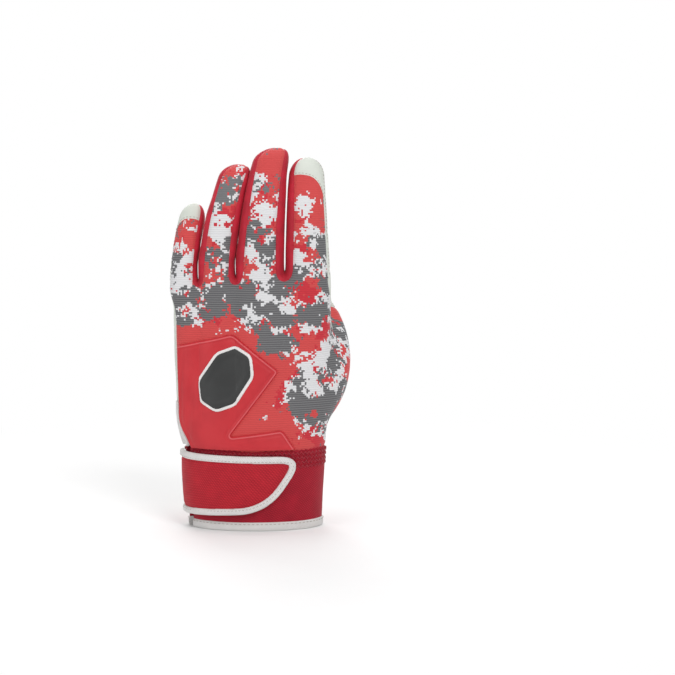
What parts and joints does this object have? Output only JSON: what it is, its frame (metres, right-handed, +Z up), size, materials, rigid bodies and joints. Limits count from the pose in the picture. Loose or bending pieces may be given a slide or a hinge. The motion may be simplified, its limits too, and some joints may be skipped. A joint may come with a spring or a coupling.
{
  "type": "batting glove",
  "caption": "Left-hand batting glove with leather palm, printed knit back, stretch gussets, moulded back pad, elastic cuff, closure strap and pull tab; fingers, thumb, strap and tab move.",
  "frame": {"origin": "middle of the bounding box in X and Y, on the lower face of the wrist hem", "axes": "+Z up from the hem to the fingertips, -Y out of the back of the hand, +Y out of the palm, +X to the index finger and thumb"},
  "size_m": [0.1142, 0.0716, 0.2278],
  "materials": {
    "palm_leather": "soft matt sheepskin",
    "knit_back": "ribbed knit with a printed pixel camouflage in red, grey and white",
    "gusset_red": "smooth stretch knit",
    "pad_red": "satin moulded",
    "badge_white": "satin moulded",
    "badge_dark": "satin moulded",
    "cuff_red": "woven elastic",
    "binding_white": "matt binding tape",
    "fastener_red": "hook and loop pile"
  },
  "bodies": {
    "hand": {"palm_panel": "palm_leather", "back_panel": "knit_back", "thumb_saddle": "knit_back", "back_pad": "pad_red", "badge_rim": "badge_white", "badge_face": "badge_dark", "slit_binding": "binding_white", "cuff_band": "cuff_red", "hem_binding": "binding_white", "loop_patch": "fastener_red", "tab_patch": "cuff_red"},
    "strap_flap": {"strap": "cuff_red", "strap_binding": "binding_white", "hook_patch": "fastener_red"},
    "pull_tab": {"tab_loop": "cuff_red"},
    "pinky_lower": {"pinky_lower_back": "knit_back", "pinky_lower_palm": "palm_leather", "pinky_lower_gusset_thumbside": "gusset_red"},
    "pinky_tip": {"pinky_tip_back": "knit_back", "pinky_tip_palm": "palm_leather", "pinky_tip_wrap": "palm_leather", "pinky_tip_gusset_thumbside": "gusset_red"},
    "ring_lower": {"ring_lower_back": "knit_back", "ring_lower_palm": "palm_leather", "ring_lower_gusset_thumbside": "gusset_red", "ring_lower_gusset_outside": "gusset_red"},
    "ring_tip": {"ring_tip_back": "knit_back", "ring_tip_palm": "palm_leather", "ring_tip_gusset_thumbside": "gusset_red", "ring_tip_gusset_outside": "gusset_red"},
    "middle_lower": {"middle_lower_back": "knit_back", "middle_lower_palm": "palm_leather", "middle_lower_gusset_thumbside": "gusset_red", "middle_lower_gusset_outside": "gusset_red"},
    "middle_tip": {"middle_tip_back": "knit_back", "middle_tip_palm": "palm_leather", "middle_tip_gusset_thumbside": "gusset_red", "middle_tip_gusset_outside": "gusset_red"},
    "index_lower": {"index_lower_back": "knit_back", "index_lower_palm": "palm_leather", "index_lower_gusset_outside": "gusset_red"},
    "index_tip": {"index_tip_back": "knit_back", "index_tip_palm": "palm_leather", "index_tip_wrap": "palm_leather", "index_tip_gusset_outside": "gusset_red"},
    "thumb_lower": {"thumb_lower_inner": "palm_leather", "thumb_lower_outer": "palm_leather"},
    "thumb_tip": {"thumb_tip_inner": "palm_leather", "thumb_tip_outer": "palm_leather"}
  },
  "joints": [
    {"name": "pinky_knuckle", "type": "hinge", "parent": "hand", "child": "pinky_lower", "pos_m": [-0.04725, 0.00483, 0.14401], "axis": [-0.9976, 0, -0.0698], "range_deg": [0, 85]},
    {"name": "pinky_bend", "type": "hinge", "parent": "pinky_lower", "child": "pinky_tip", "pos_m": [-0.04587, 0.00578, 0.1615], "axis": [-0.9904, 0.0282, 0.1357], "range_deg": [0, 95]},
    {"name": "ring_knuckle", "type": "hinge", "parent": "hand", "child": "ring_lower", "pos_m": [-0.02745, 0.00468, 0.1454], "axis": [-0.9976, 0, -0.0698], "range_deg": [0, 85]},
    {"name": "ring_bend", "type": "hinge", "parent": "ring_lower", "child": "ring_tip", "pos_m": [-0.02502, 0.0056, 0.17468], "axis": [-0.9878, 0.0202, 0.1542], "range_deg": [0, 95]},
    {"name": "middle_knuckle", "type": "hinge", "parent": "hand", "child": "middle_lower", "pos_m": [-0.00145, 0.00443, 0.14722], "axis": [-0.9976, 0, -0.0698], "range_deg": [0, 85]},
    {"name": "middle_bend", "type": "hinge", "parent": "middle_lower", "child": "middle_tip", "pos_m": [0.00008, 0.00524, 0.18041], "axis": [-0.9961, 0.0101, 0.0872], "range_deg": [0, 95]},
    {"name": "index_knuckle", "type": "hinge", "parent": "hand", "child": "index_lower", "pos_m": [0.02765, 0.00448, 0.14925], "axis": [-0.9976, 0, -0.0698], "range_deg": [0, 18]},
    {"name": "index_bend", "type": "hinge", "parent": "index_lower", "child": "index_tip", "pos_m": [0.0274, 0.00527, 0.17804], "axis": [-0.9999, -0.0022, -0.0163], "range_deg": [0, 62]},
    {"name": "thumb_swing", "type": "hinge", "parent": "hand", "child": "thumb_lower", "pos_m": [0.04218, 0.01938, 0.13281], "axis": [0, 0.9843, -0.1764], "range_deg": [0, 45]},
    {"name": "thumb_bend", "type": "hinge", "parent": "thumb_lower", "child": "thumb_tip", "pos_m": [0.0164, 0.02242, 0.14979], "axis": [0, 0.9843, -0.1764], "range_deg": [-60, 0]},
    {"name": "strap_open", "type": "hinge", "parent": "hand", "child": "strap_flap", "pos_m": [-0.04742, -0.00536, 0.0085], "axis": [0, 0, -1], "range_deg": [0, 110]},
    {"name": "tab_flip", "type": "hinge", "parent": "hand", "child": "pull_tab", "pos_m": [-0.00455, 0.01999, 0.014], "axis": [1, 0, 0], "range_deg": [0, 110]}
  ]
}
